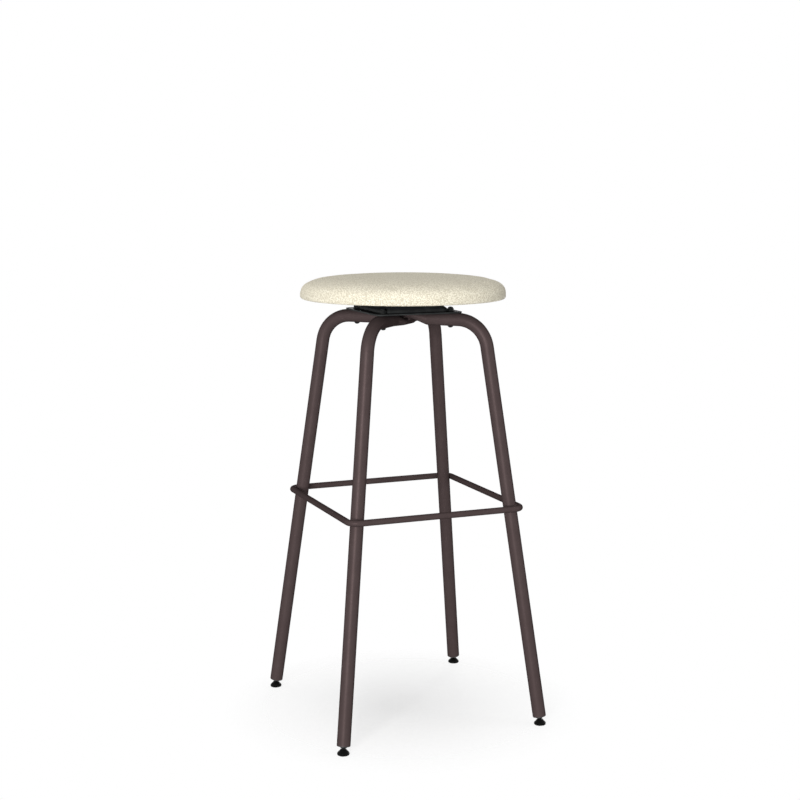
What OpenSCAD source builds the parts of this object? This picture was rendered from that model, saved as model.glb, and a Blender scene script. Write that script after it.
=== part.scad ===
// Backless swivel stool at spectator height. Two bent tube arches cross under the seat with a
// pressed half lap, a square rod ring ties the four legs, and a ball-bearing swivel carries a
// round padded seat. Millimetres, +Z up, origin on the floor under the seat's axis, front is -Y.

/* [Seat] */
// Height of the seat's crown above the floor
seat_height = 863.6; // [760:0.1:900]
// Diameter of the padded seat at its widest
seat_dia = 397; // [380:1:430]
// Thickness of the seat from its underside to its crown
seat_thick = 43.3; // [40:0.1:60]
// Height of the widest circle above the seat's underside
seat_edge_rise = 3.7; // [3:0.1:9]
// How boxy the crown is, where 2 is an ellipse and more is squarer
crown_power = 3.6; // [2.6:0.05:4.5]
// Width of the rounding under the seat's edge
under_round = 4.5; // [3:0.5:14]
// Thickness of the plywood seat board
board_thick = 12; // [10:0.5:15]
// Width of the foam between the board's edge and the cover
edge_foam = 11; // [8:0.5:16]
// Thickness of the upholstery fabric
cover_thick = 1; // [0.6:0.1:1.6]
// Width of the fabric that is folded under the board
cover_fold = 28; // [20:1:34]
// Thickness of the dust cover under the board
dust_thick = 0.5; // [0.4:0.1:0.8]

/* [Frame] */
// Outside diameter of the frame tube
tube_dia = 25.4; // [22:0.1:28]
// Wall of the frame tube
tube_wall = 1.6; // [1.2:0.1:2]
// Distance of a leg's axis from the seat's axis at the floor
leg_spread = 288.8; // [265:0.1:310]
// Lean of each leg from upright, in degrees
leg_lean = 9.02; // [7:0.01:10]
// Centreline radius of the bend from arm to leg
bend_radius = 59; // [50:1:66]
// Height of the centre of a tube's cut end above the floor
tube_end = 17.6; // [17:0.1:20]

/* [Crossing] */
// Half length of the level stretch of the pressed lap
lap_flat = 20.4; // [19:0.1:26]
// Distance from the crossing to where a tube is round again
lap_end = 53; // [48:0.5:58]

/* [Footrest] */
// Height of the footrest rod's centreline above the floor
footrest_height = 425.3; // [340:0.1:520]
// Diameter of the footrest rod
footrest_rod = 12; // [10:0.1:14]
// Radius of the weld bead that ties the rod to a leg
weld_bead = 2.2; // [1.8:0.1:2.6]

/* [Swivel plates] */
// Side of the lower swivel plate
lower_side = 178; // [172:1:186]
// Corner radius of both swivel plates
plate_corner = 14; // [10:0.5:18]
// Sheet thickness of both swivel plates
plate_thick = 2.6; // [2:0.1:3]
// Side of the raised platform in the lower plate, at its foot
platform_side = 140.4; // [136:0.2:141]
// Corner radius of the platform at its foot
platform_corner = 20; // [18:0.5:24]
// Height of the platform above the lower plate's flat rim
platform_rise = 13.5; // [13:0.1:16]
// Height of the platform's steep wall, up to its slanted shoulder
shoulder_rise = 4.6; // [4:0.1:6]
// Slope of the platform's shoulder from level, in degrees
shoulder_slope = 34; // [30:1:40]
// Radius of the press bend between the platform's wall and its shoulder
shoulder_round = 4; // [3.4:0.1:5]
// Radius of the press bend between the shoulder and the platform's flat top
platform_round = 11; // [8:0.5:12]
// Side of the upper swivel plate
upper_side = 150; // [142:1:158]
// Depth of the round pan pressed into the upper plate
pan_depth = 3.15; // [3.1:0.05:4.5]
// Radius of the pan's flat bottom
pan_radius = 60; // [57:0.5:63]

/* [Swivel bearing] */
// Diameter of each bearing ball
ball_dia = 6.35; // [5.5:0.05:6.8]
// Number of bearing balls
ball_count = 20; // [12:1:24]
// Radius of the circle that the balls run on
race_radius = 46; // [42:0.5:50]
// Depth of the ball groove in each plate
race_depth = 1.2; // [1:0.05:1.4]
// Thickness of the ball cage
cage_thick = 1.2; // [0.8:0.1:1.6]
// Diameter of the pivot bolt
pivot_dia = 12; // [10:0.1:13]

/* [Fasteners] */
// Distance of each frame bolt from the seat's axis
bolt_radius = 98; // [97.5:0.1:104]
// Diameter of the frame bolts
bolt_dia = 6.35; // [5:0.05:7]
// Width across the flats of the frame bolts' lock nuts
nut_flats = 11.1; // [10:0.1:11.4]
// Distance of each seat screw from the seat's axis, along X and along Y
screw_offset = 60; // [59:0.5:62]
// Diameter of the seat screws
screw_dia = 6; // [5:0.1:6.5]
// Number of staples under the seat
staple_count = 24; // [16:1:32]

/* [Levelling glides] */
// Diameter of the glide's foot
foot_dia = 22.9; // [20:0.1:26]
// Height of the ball joint's centre above the floor
ball_joint_height = 8.2; // [7.8:0.1:8.6]
// Diameter of the glide stud's ball
stud_ball = 9; // [8.6:0.1:9.4]
// Diameter of the glide stud's thread
stud_dia = 8; // [7:0.1:9]
// Length of the threaded insert in each leg
insert_length = 25; // [20:1:32]
// Thickness of the insert's lip below the tube's end
lip_thick = 1.2; // [1:0.1:1.6]

/* [Hidden] */

// Colours
frame_colour = "#4e4343";
plate_colour = "#1c1e1d";
glide_colour = "#141414";
zinc_colour = "#9a9a98";
fabric_colour = "#ece6d4";
foam_colour = "#e8d9a0";
wood_colour = "#c9a878";
nylon_colour = "#d8d4c8";

// Turn of each leg about the seat's axis, from +X
rear_right = 45;
rear_left = rear_right + 90;
front_left = rear_right + 180;
front_right = rear_right + 270;
corner_turns = [front_left, front_right, rear_left, rear_right];

// Fits and clearances
running_fit = 0.05;
slip_fit = 0.05;
bolt_play = 0.3;
stop_gap = 0.1;
cut_over = 1;
round_faces = 96;
small_faces = 48;

// Slant of the platform's steep wall from upright, in degrees
wall_slant = 8;

// Heights, from the seat down to the frame
seat_bottom = seat_height - seat_thick;
board_bottom = seat_bottom + cover_thick;
board_top = board_bottom + board_thick;
upper_plate_top = board_bottom - dust_thick;
upper_plate_bottom = upper_plate_top - plate_thick;
pan_bottom = upper_plate_bottom - pan_depth;
ball_centre = pan_bottom + race_depth - running_fit - ball_dia / 2;
platform_top = ball_centre - ball_dia / 2 - running_fit + race_depth;
lower_plate_top = platform_top - platform_rise;
frame_top = lower_plate_top - plate_thick;
arm_height = frame_top - slip_fit - tube_dia / 2;
arm_bottom = arm_height - tube_dia / 2;

// Plan of the legs and bends
corner_radius = leg_spread - arm_height * tan(leg_lean);
bend_sweep = 90 - leg_lean;
bend_start = corner_radius - bend_radius * tan(bend_sweep / 2);
bend_centre = arm_height - bend_radius;
bend_foot = bend_centre + bend_radius * sin(leg_lean);
leg_length = (bend_foot - tube_end) / cos(leg_lean);

// A leg is this much fuller than its bend all round, and a straight stretch runs this far into its neighbour
join_step = 0.1;
join_over = 0.3;
leg_radius = tube_dia / 2 + join_step;

// Pressed lap of the crossing
lap_height = tube_dia / 2;
lap_sides = 32;
lap_steps = 8;
lap_blend = 0.14;
lap_margin = 0.02;

// Footrest
footrest_corner = snap(leg_axis(footrest_height) / sqrt(2));
footrest_wrap = snap((leg_radius + footrest_rod / 2) / cos(leg_lean) + slip_fit);
footrest_weld_sweep = 64;

// Seat
seat_radius = seat_dia / 2;
board_radius = seat_radius - cover_thick - edge_foam;
fold_radius = seat_radius - under_round - cover_fold;
dust_radius = fold_radius + cover_fold * 0.6;
profile_steps = 24;
round_steps = 6;

// Fastener sizes
bolt_head_dia = bolt_dia * 1.75;
bolt_head_rise = bolt_dia * 0.54;
nut_height = nut_flats * 0.5;
nut_collar_height = nut_flats * 0.2;
bolt_tail = 1;
tee_barrel = screw_dia * 1.4;
tee_flange_dia = screw_dia * 3;
tee_flange_thick = 1.2;
tee_depth = board_thick - 2;
screw_head_dia = screw_dia * 1.9;
screw_head_rise = screw_dia * 0.55;
washer_thick = 1.6;
pivot_nut_flats = pivot_dia * 1.55;
pivot_nut_height = pivot_dia * 0.6;
pivot_head_dia = pivot_dia * 1.9;
pivot_head_rise = pan_depth - 0.4;
bushing_wall = 2;
bushing_flange_thick = 1;
bushing_flange_width = 7;
bushing_flange_dia = pivot_dia + 2 * bushing_flange_width;
bushing_stand = 0.5;
cage_margin = 2.4;
staple_crown = 10;
staple_wire = 0.9;
staple_leg = 6;

// Glide sizes, along the leg's axis from the ball's centre
foot_radius = foot_dia / 2;
foot_rim = 4.2;
foot_neck_radius = 6.2;
foot_neck_height = ball_joint_height + 1.4;
foot_top_radius = 5.4;
foot_top = ball_joint_height + 2.4;
stud_neck = 5.2;
collar_flats = 12;
collar_start = 5;
collar_end = (tube_end - lip_thick - ball_joint_height) / cos(leg_lean) - stop_gap;
stud_end = collar_end + insert_length + lip_thick + 4;

// Length rounded to a hundredth, so that two stretches of rod meet on one edge
function snap(length) = round(length * 100) / 100;

// Distance of a leg's axis from the seat's axis at a height
function leg_axis(height) = leg_spread - height * tan(leg_lean);

// Share of the press at a step along the lap's ramp: straight, with rounded ends
function ramp(t) =
    t < lap_blend ? t * t / (2 * lap_blend * (1 - lap_blend)) :
    t > 1 - lap_blend ? 1 - (1 - t) * (1 - t) / (2 * lap_blend * (1 - lap_blend)) :
    (t - lap_blend / 2) / (1 - lap_blend);

// Height of the tube's section at a distance along the arm from the crossing
function lap_section(distance) =
    distance <= lap_flat ? lap_height :
    lap_height + (tube_dia - lap_height) * ramp((distance - lap_flat) / (lap_end - lap_flat));

// Half of the flat between the section's two round ends, which keeps the tube's girth
function lap_half_flat(height) = PI * (tube_dia - height) / 4;

// Points round one section: two half circles and two flats, with one side of the tube kept level
function lap_ring(distance, inset, pressed) =
    let (height = lap_section(abs(distance)))
    let (margin = lap_margin * (height - lap_height) / (tube_dia - lap_height))
    let (end_radius = (height / 2 - inset + margin) / cos(180 / lap_sides))
    let (flat = lap_half_flat(height))
    let (middle = pressed * (tube_dia - height) / 2)
    [for (i = [0:lap_sides - 1])
        let (turn = (i + 0.5) * 360 / lap_sides)
        [distance, sign(cos(turn)) * flat + end_radius * cos(turn), middle + end_radius * sin(turn)]];

lap_marks = concat(
    [for (i = [0:lap_steps]) -lap_end + i * (lap_end - lap_flat) / lap_steps],
    [for (i = [0:lap_steps]) lap_flat + i * (lap_end - lap_flat) / lap_steps]);

// Outline of the seat's half section, drawn in by an inset
function seat_outline(inset) =
    let (radius = seat_radius - inset)
    let (crown = seat_thick - seat_edge_rise - inset)
    let (drop = seat_edge_rise - inset)
    let (under = seat_radius - under_round)
    let (widest = seat_bottom + seat_edge_rise)
    concat(
        [for (i = [0:profile_steps])
            let (t = 90 - i * 90 / profile_steps)
            [radius * pow(cos(t), 2 / crown_power), widest + crown * pow(sin(t), 2 / crown_power)]],
        [for (i = [1:round_steps])
            let (t = i * 90 / round_steps)
            [under + (radius - under) * cos(t), widest - drop * sin(t)]],
        [[0, seat_bottom + inset]]);

// Points of a sheet's outer bend at a corner, between faces whose normals rise at two angles
function sheet_bend(corner, radius, from, to, inset) =
    let (between = [cos(from) + cos(to), sin(from) + sin(to)] / (1 + cos(to - from)))
    let (centre = corner - radius * between)
    [for (i = [0:round_steps])
        let (t = from + i * (to - from) / round_steps)
        centre + (radius - inset) * [cos(t), sin(t)]];

// Outline of the platform's edge about its corner's centre, drawn in by the sheet
function platform_outline(inset) =
    let (shoulder = [platform_corner - shoulder_rise * tan(wall_slant), lower_plate_top + shoulder_rise])
    let (brow = [shoulder[0] - (platform_rise - shoulder_rise) / tan(shoulder_slope), platform_top])
    let (foot = platform_corner - inset)
    concat(
        [[0, frame_top - inset], [foot, frame_top - inset], [foot, lower_plate_top - inset]],
        sheet_bend(shoulder, shoulder_round, wall_slant, 90 - shoulder_slope, inset),
        sheet_bend(brow, platform_round, 90 - shoulder_slope, 90, inset),
        [[0, platform_top - inset]]);

// Places its children on a leg's side of the seat's axis
module at_corner(turn) {
    rotate([0, 0, turn]) children();
}

// Places its children at a leg's axis, at a height, with +Z along the leg
module on_leg(turn, height) {
    at_corner(turn) translate([leg_axis(height), 0, height]) rotate([0, -leg_lean, 0]) children();
}

// Hexagonal prism, flats facing +X and -X
module hexagon(flats, height) {
    rotate([0, 0, 30]) cylinder(h = height, d = flats / cos(30), $fn = 6);
}

// Flat rounded square, centred
module rounded_square(side, corner) {
    square([side, side - 2 * corner], center = true);
    square([side - 2 * corner, side], center = true);
    for (x = [-1, 1], y = [-1, 1])
        translate([x * (side / 2 - corner), y * (side / 2 - corner)])
            circle(r = corner, $fn = small_faces);
}

// One side of an arch: bend, arm and leg, with the tube's radius drawn in by an inset
module half_arch(inset, over) {
    radius = tube_dia / 2 - inset;
    translate([bend_start, 0, bend_centre]) {
        rotate([90, 0, 0])
            rotate_extrude(angle = bend_sweep, start = leg_lean, $fn = round_faces)
                translate([bend_radius, 0])
                    circle(r = radius, $fn = round_faces);
        translate([0, 0, bend_radius])
            rotate([0, -90, 0])
                cylinder(h = bend_start - lap_end + join_over, r = radius, $fn = round_faces);
        rotate([0, -leg_lean, 0])
            translate([bend_radius, 0, join_over])
                rotate([0, 180, 0])
                    cylinder(h = leg_length + join_over + over, r = radius + join_step, $fn = round_faces);
    }
}

// Pressed stretch through the crossing: sections of constant girth, lofted along the arm
module lap(inset, pressed) {
    rings = [for (mark = lap_marks) lap_ring(mark, inset, pressed)];
    count = len(rings);
    points = [for (ring = rings, point = ring) point];
    start_cap = [[for (i = [0:lap_sides - 1]) i]];
    end_cap = [[for (i = [0:lap_sides - 1]) count * lap_sides - 1 - i]];
    sides = [for (r = [0:count - 2], i = [0:lap_sides - 1])
        let (next = (i + 1) % lap_sides)
        [r * lap_sides + i, (r + 1) * lap_sides + i, (r + 1) * lap_sides + next, r * lap_sides + next]];
    translate([0, 0, arm_height])
        polyhedron(points = points, faces = concat(start_cap, sides, end_cap), convexity = 4);
}

// Whole tube of an arch as a solid, drawn in by an inset
module arch_body(inset, pressed, over) {
    half_arch(inset, over);
    rotate([0, 0, 180]) half_arch(inset, over);
    lap(inset, pressed);
}

// A bent tube from foot to foot, pressed at its middle and drilled for the frame bolts
module arch(turn, pressed) {
    rotate([0, 0, turn])
        difference() {
            arch_body(0, pressed, 0);
            arch_body(tube_wall, pressed, cut_over);
            for (side = [-1, 1])
                translate([side * bolt_radius, 0, arm_bottom - cut_over])
                    cylinder(h = tube_dia + 2 * cut_over, d = bolt_dia + 2 * bolt_play, $fn = small_faces);
        }
}

module lower_arch() {
    color(frame_colour) arch(front_left, -1);
}

module upper_arch() {
    color(frame_colour) arch(rear_left, 1);
}

// Bead in the groove between one tube's rounded side and the other tube's flat
module lap_bead(side, pressed) {
    flat = lap_half_flat(lap_height);
    bead = lap_height * 0.24;
    difference() {
        translate([-flat, side * (flat + lap_height * 0.42), arm_height + pressed * bead * 0.6])
            rotate([0, 90, 0])
                cylinder(h = 2 * flat, r = bead, $fn = small_faces);
        translate([-lap_flat, side * flat, arm_height + pressed * lap_height / 2])
            rotate([0, 90, 0])
                cylinder(h = 2 * lap_flat, r = lap_height / 2 / cos(180 / lap_sides) + slip_fit,
                    $fn = round_faces);
        translate([-lap_flat, -lap_flat, arm_height - (1 + pressed) * lap_height / 2])
            cube([2 * lap_flat, 2 * lap_flat, lap_height]);
    }
}

// Four beads round the lap's square of contact
module crossing_welds() {
    color(frame_colour)
        for (side = [-1, 1]) {
            rotate([0, 0, rear_left]) lap_bead(side, 1);
            rotate([0, 0, front_left]) lap_bead(side, -1);
        }
}

// Rod bent round the outside of the rear right leg
module footrest_bend() {
    translate([footrest_corner, footrest_corner, footrest_height])
        rotate_extrude(angle = 90, $fn = round_faces)
            translate([footrest_wrap, 0])
                rotate(90)
                    circle(d = footrest_rod, $fn = small_faces);
}

// Straight rod along the rear side, from that bend to the next
module footrest_side() {
    translate([footrest_corner, footrest_corner, footrest_height])
        translate([0, footrest_wrap, 0])
            rotate([0, -90, 0])
                cylinder(h = 2 * footrest_corner, d = footrest_rod, $fn = small_faces);
}

// Square ring of rod that passes outside the four legs
module footrest_ring() {
    color(frame_colour)
        for (i = [0:3])
            rotate([0, 0, i * 90]) {
                footrest_bend();
                footrest_side();
            }
}

// Weld beads over and under the rod, along its wrap round each leg
module footrest_welds() {
    bead_offset = footrest_rod / 2 * 0.82;
    color(frame_colour)
        for (turn = corner_turns, side = [-1, 1])
            difference() {
                at_corner(turn)
                    translate([leg_axis(footrest_height + side * bead_offset), 0,
                        footrest_height + side * bead_offset])
                        rotate([0, 0, -footrest_weld_sweep / 2])
                            rotate_extrude(angle = footrest_weld_sweep, $fn = round_faces)
                                translate([leg_radius + weld_bead * 0.5, 0])
                                    circle(r = weld_bead, $fn = small_faces);
                on_leg(turn, footrest_height)
                    cylinder(h = 5 * footrest_rod, r = leg_radius, center = true, $fn = round_faces);
                rotate([0, 0, turn - rear_right]) footrest_bend();
            }
}

// Threaded plug in the tube's end, with a lip that bears on the cut
module leg_insert(turn) {
    color(glide_colour)
        on_leg(turn, tube_end)
            difference() {
                union() {
                    cylinder(h = insert_length, r = leg_radius - tube_wall - slip_fit, $fn = round_faces);
                    translate([0, 0, -lip_thick])
                        cylinder(h = lip_thick, r = leg_radius - 2 * slip_fit, $fn = round_faces);
                }
                translate([0, 0, -lip_thick - cut_over])
                    cylinder(h = insert_length + lip_thick + 2 * cut_over, d = stud_dia, $fn = small_faces);
            }
}

// Levelling stud: ball, neck, hexagonal collar and threaded shank
module glide_stud(turn) {
    color(glide_colour)
        on_leg(turn, ball_joint_height) {
            sphere(d = stud_ball, $fn = small_faces);
            cylinder(h = collar_end, d = stud_neck, $fn = small_faces);
            translate([0, 0, collar_start]) hexagon(collar_flats, collar_end - collar_start);
            translate([0, 0, collar_end])
                cylinder(h = stud_end - collar_end, d = stud_dia - 2 * running_fit, $fn = small_faces);
        }
}

// Foot that stays flat on the floor and tilts on the stud's ball
module glide_foot(turn) {
    socket = stud_ball / 2 + running_fit;
    color(glide_colour)
        at_corner(turn)
            translate([leg_axis(ball_joint_height), 0, 0])
                difference() {
                    rotate_extrude($fn = round_faces)
                        polygon([
                            [0, 0], [foot_radius - 1.3, 0], [foot_radius - 0.35, 0.5], [foot_radius, 1.5],
                            [foot_radius, foot_rim - 1], [foot_radius - 0.5, foot_rim],
                            [foot_neck_radius + 0.9, foot_neck_height - 1.2],
                            [foot_neck_radius, foot_neck_height], [foot_top_radius, foot_top], [0, foot_top]]);
                    translate([0, 0, ball_joint_height]) sphere(r = socket, $fn = small_faces);
                }
}

// Solid of the raised platform, drawn in by the sheet's thickness
module platform_body(inset) {
    centre = platform_side / 2 - platform_corner;
    outline = platform_outline(inset);
    section = concat(
        [for (p = outline) if (p[0] > 0) [centre + p[0], p[1]]],
        [for (i = [len(outline) - 1:-1:0]) if (outline[i][0] > 0) [-centre - outline[i][0], outline[i][1]]]);
    for (x = [-1, 1], y = [-1, 1])
        translate([x * centre, y * centre, 0])
            rotate_extrude($fn = small_faces) polygon(outline);
    for (turn = [0, 90])
        rotate([90, 0, turn])
            linear_extrude(height = 2 * centre, center = true) polygon(section);
}

// Ball groove's bead, as the press pushes it through the sheet
module race_bead(height, direction) {
    bead = ball_dia / 2 + running_fit + plate_thick * 0.7;
    rotate_extrude($fn = round_faces)
        intersection() {
            translate([race_radius, ball_centre]) circle(r = bead, $fn = small_faces);
            translate([race_radius - bead, min(height, height + direction * plate_thick)])
                square([2 * bead, plate_thick]);
        }
}

module race_groove() {
    rotate_extrude($fn = round_faces)
        translate([race_radius, ball_centre])
            circle(d = ball_dia + 2 * running_fit, $fn = small_faces);
}

// Square plate on the four arms, pressed up into a platform that carries the balls
module lower_swivel_plate() {
    color(plate_colour)
        difference() {
            union() {
                translate([0, 0, frame_top])
                    linear_extrude(height = plate_thick) rounded_square(lower_side, plate_corner);
                platform_body(0);
                race_bead(platform_top - plate_thick, -1);
            }
            difference() {
                platform_body(plate_thick);
                race_bead(platform_top - plate_thick, -1);
            }
            race_groove();
            translate([0, 0, frame_top])
                cylinder(h = platform_top, r = pivot_dia / 2 + bushing_wall + slip_fit, $fn = small_faces);
            for (turn = corner_turns)
                at_corner(turn)
                    translate([bolt_radius, 0, frame_top - cut_over])
                        cylinder(h = plate_thick + 2 * cut_over, d = bolt_dia + 2 * bolt_play, $fn = small_faces);
        }
}

// Dome-headed bolts from under the arms, up through tube and plate
module plate_bolts() {
    head_sphere = (pow(bolt_head_dia / 2, 2) + pow(bolt_head_rise, 2)) / (2 * bolt_head_rise);
    color(zinc_colour)
        for (turn = corner_turns)
            at_corner(turn)
                translate([bolt_radius, 0, arm_bottom]) {
                    cylinder(
                        h = lower_plate_top - arm_bottom + nut_height + nut_collar_height + bolt_tail,
                        d = bolt_dia, $fn = small_faces);
                    difference() {
                        intersection() {
                            translate([0, 0, head_sphere - bolt_head_rise])
                                sphere(r = head_sphere, $fn = round_faces);
                            translate([0, 0, -bolt_head_rise])
                                cylinder(h = bolt_head_rise, d = bolt_head_dia, $fn = small_faces);
                        }
                        translate([0, 0, -bolt_head_rise])
                            hexagon(bolt_dia * 0.62, bolt_head_rise * 0.6);
                    }
                }
}

// Lock nuts on the lower plate: a hexagon with a round collar
module plate_nuts() {
    color(zinc_colour)
        for (turn = corner_turns)
            at_corner(turn)
                translate([bolt_radius, 0, lower_plate_top])
                    difference() {
                        union() {
                            hexagon(nut_flats, nut_height);
                            cylinder(h = nut_height + nut_collar_height, d = nut_flats * 0.9, $fn = small_faces);
                        }
                        translate([0, 0, -cut_over])
                            cylinder(h = nut_height + nut_collar_height + 2 * cut_over,
                                d = bolt_dia + 2 * slip_fit, $fn = small_faces);
                    }
}

// Flanged sleeve in the platform, which the pivot turns in
module pivot_bushing() {
    underside = platform_top - plate_thick;
    color(nylon_colour)
        difference() {
            union() {
                translate([0, 0, underside - bushing_flange_thick])
                    cylinder(h = plate_thick + bushing_flange_thick + bushing_stand,
                        r = pivot_dia / 2 + bushing_wall, $fn = small_faces);
                translate([0, 0, underside - bushing_flange_thick])
                    cylinder(h = bushing_flange_thick, d = bushing_flange_dia, $fn = small_faces);
            }
            translate([0, 0, underside - bushing_flange_thick - cut_over])
                cylinder(h = plate_thick + bushing_flange_thick + bushing_stand + 2 * cut_over,
                    d = pivot_dia + 2 * running_fit, $fn = small_faces);
        }
}

// Ring that keeps the balls apart
module ball_cage() {
    color(zinc_colour)
        translate([0, 0, ball_centre - cage_thick / 2])
            difference() {
                cylinder(h = cage_thick, r = race_radius + ball_dia / 2 + cage_margin, $fn = round_faces);
                translate([0, 0, -cut_over])
                    cylinder(h = cage_thick + 2 * cut_over, r = race_radius - ball_dia / 2 - cage_margin,
                        $fn = round_faces);
                for (i = [0:ball_count - 1])
                    rotate([0, 0, i * 360 / ball_count])
                        translate([race_radius, 0, -cut_over])
                            cylinder(h = cage_thick + 2 * cut_over, d = ball_dia + 4 * running_fit,
                                $fn = small_faces);
            }
}

module bearing_balls() {
    color(zinc_colour)
        for (i = [0:ball_count - 1])
            rotate([0, 0, i * 360 / ball_count])
                translate([race_radius, 0, ball_centre])
                    sphere(d = ball_dia, $fn = small_faces);
}

// Square plate under the seat board, pressed down into a round pan over the balls
module upper_swivel_plate() {
    slant_shift = plate_thick * tan(22.5);
    pan_edge = pan_radius + pan_depth;
    blend = 3;
    color(plate_colour)
        difference() {
            union() {
                translate([0, 0, upper_plate_bottom])
                    linear_extrude(height = plate_thick)
                        difference() {
                            rounded_square(upper_side, plate_corner);
                            circle(r = pan_edge + blend / 2, $fn = round_faces);
                        }
                rotate_extrude($fn = round_faces)
                    polygon([
                        [0, pan_bottom], [pan_radius, pan_bottom], [pan_edge, upper_plate_bottom],
                        [pan_edge + blend, upper_plate_bottom], [pan_edge + blend, upper_plate_top],
                        [pan_edge - slant_shift, upper_plate_top],
                        [pan_radius - slant_shift, pan_bottom + plate_thick], [0, pan_bottom + plate_thick]]);
                race_bead(pan_bottom + plate_thick, 1);
            }
            race_groove();
            translate([0, 0, pan_bottom - cut_over])
                cylinder(h = plate_thick + 2 * cut_over, d = pivot_dia + 2 * slip_fit, $fn = small_faces);
            for (x = [-1, 1], y = [-1, 1])
                translate([x * screw_offset, y * screw_offset, upper_plate_bottom - cut_over])
                    cylinder(h = plate_thick + 2 * cut_over, d = screw_dia + 2 * bolt_play, $fn = small_faces);
        }
}

// Low-headed bolt that holds the two plates together and is the swivel's axle
module pivot_bolt() {
    tail = platform_top - plate_thick - bushing_flange_thick - stop_gap - washer_thick
        - pivot_nut_height - bolt_tail / 2;
    color(zinc_colour) {
        translate([0, 0, tail])
            cylinder(h = pan_bottom + plate_thick - tail, d = pivot_dia, $fn = small_faces);
        translate([0, 0, pan_bottom + plate_thick])
            cylinder(h = pivot_head_rise, d = pivot_head_dia, $fn = round_faces);
    }
}

module pivot_washer() {
    top = platform_top - plate_thick - bushing_flange_thick - stop_gap;
    color(zinc_colour)
        translate([0, 0, top - washer_thick])
            difference() {
                cylinder(h = washer_thick, d = bushing_flange_dia, $fn = round_faces);
                translate([0, 0, -cut_over])
                    cylinder(h = washer_thick + 2 * cut_over, d = pivot_dia + 2 * slip_fit, $fn = small_faces);
            }
}

module pivot_nut() {
    top = platform_top - plate_thick - bushing_flange_thick - stop_gap - washer_thick;
    color(zinc_colour)
        translate([0, 0, top - pivot_nut_height])
            difference() {
                hexagon(pivot_nut_flats, pivot_nut_height);
                translate([0, 0, -cut_over])
                    cylinder(h = pivot_nut_height + 2 * cut_over, d = pivot_dia + 2 * slip_fit,
                        $fn = small_faces);
            }
}

// Round plywood board with four holes for the tee nuts
module seat_board() {
    color(wood_colour)
        difference() {
            translate([0, 0, board_bottom])
                cylinder(h = board_thick, r = board_radius, $fn = round_faces);
            for (x = [-1, 1], y = [-1, 1])
                translate([x * screw_offset, y * screw_offset, board_bottom - cut_over])
                    cylinder(h = board_thick + 2 * cut_over, d = tee_barrel + 2 * slip_fit, $fn = small_faces);
        }
}

// Barrel nuts let into the board from above
module tee_nuts() {
    color(zinc_colour)
        for (x = [-1, 1], y = [-1, 1])
            translate([x * screw_offset, y * screw_offset, board_top])
                difference() {
                    union() {
                        cylinder(h = tee_flange_thick, d = tee_flange_dia, $fn = small_faces);
                        translate([0, 0, -tee_depth]) cylinder(h = tee_depth, d = tee_barrel, $fn = small_faces);
                    }
                    translate([0, 0, -tee_depth - cut_over])
                        cylinder(h = tee_depth + tee_flange_thick + 2 * cut_over,
                            d = screw_dia + 2 * slip_fit, $fn = small_faces);
                }
}

// Round-headed screws up through the upper plate into the tee nuts
module seat_screws() {
    color(zinc_colour)
        for (x = [-1, 1], y = [-1, 1])
            translate([x * screw_offset, y * screw_offset, upper_plate_bottom]) {
                cylinder(h = board_top - upper_plate_bottom, d = screw_dia, $fn = small_faces);
                rotate_extrude($fn = small_faces)
                    polygon([
                        [0, 0], [screw_head_dia / 2, 0], [screw_head_dia / 2, -screw_head_rise * 0.4],
                        [screw_head_dia * 0.36, -screw_head_rise * 0.85], [screw_head_dia * 0.2, -screw_head_rise],
                        [0, -screw_head_rise]]);
            }
}

// Crowned foam pad that wraps the board's edge
module seat_foam() {
    color(foam_colour)
        difference() {
            rotate_extrude($fn = round_faces) polygon(seat_outline(cover_thick + slip_fit));
            translate([0, 0, seat_bottom])
                cylinder(h = board_top - seat_bottom + slip_fit, r = board_radius + slip_fit, $fn = round_faces);
            for (x = [-1, 1], y = [-1, 1])
                translate([x * screw_offset, y * screw_offset, seat_bottom])
                    cylinder(h = board_top - seat_bottom + tee_flange_thick + slip_fit,
                        d = tee_flange_dia + 2 * slip_fit, $fn = small_faces);
        }
}

// Fabric cover: crown, edge and the fold under the board
module seat_cover() {
    color(fabric_colour)
        difference() {
            rotate_extrude($fn = round_faces) polygon(seat_outline(0));
            rotate_extrude($fn = round_faces) polygon(seat_outline(cover_thick));
            translate([0, 0, seat_bottom - cut_over])
                cylinder(h = cover_thick + 2 * cut_over, r = fold_radius, $fn = round_faces);
        }
}

// Black cloth that closes the underside and steps down over the fabric's fold
module dust_cover() {
    step = fold_radius - dust_thick;
    color(plate_colour)
        difference() {
            rotate_extrude($fn = round_faces)
                polygon([
                    [0, board_bottom - dust_thick], [step - dust_thick, board_bottom - dust_thick],
                    [step - dust_thick, seat_bottom - dust_thick], [dust_radius, seat_bottom - dust_thick],
                    [dust_radius, seat_bottom], [step, seat_bottom], [step, board_bottom], [0, board_bottom]]);
            for (x = [-1, 1], y = [-1, 1])
                translate([x * screw_offset, y * screw_offset, seat_bottom - cut_over])
                    cylinder(h = cover_thick + 2 * cut_over, d = screw_dia + 2 * bolt_play, $fn = small_faces);
        }
}

// Staples through dust cover and fabric into the board
module staples() {
    ring = (fold_radius + dust_radius) / 2;
    low = seat_bottom - dust_thick - staple_wire;
    color(zinc_colour)
        for (i = [0:staple_count - 1])
            rotate([0, 0, (i + 0.5) * 360 / staple_count])
                translate([ring, 0, low]) {
                    translate([0, 0, staple_wire / 2])
                        cube([staple_wire, staple_crown, staple_wire], center = true);
                    for (side = [-1, 1])
                        translate([0, side * (staple_crown - staple_wire) / 2, staple_leg / 2])
                            cube([staple_wire, staple_wire, staple_leg], center = true);
                }
}

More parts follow.
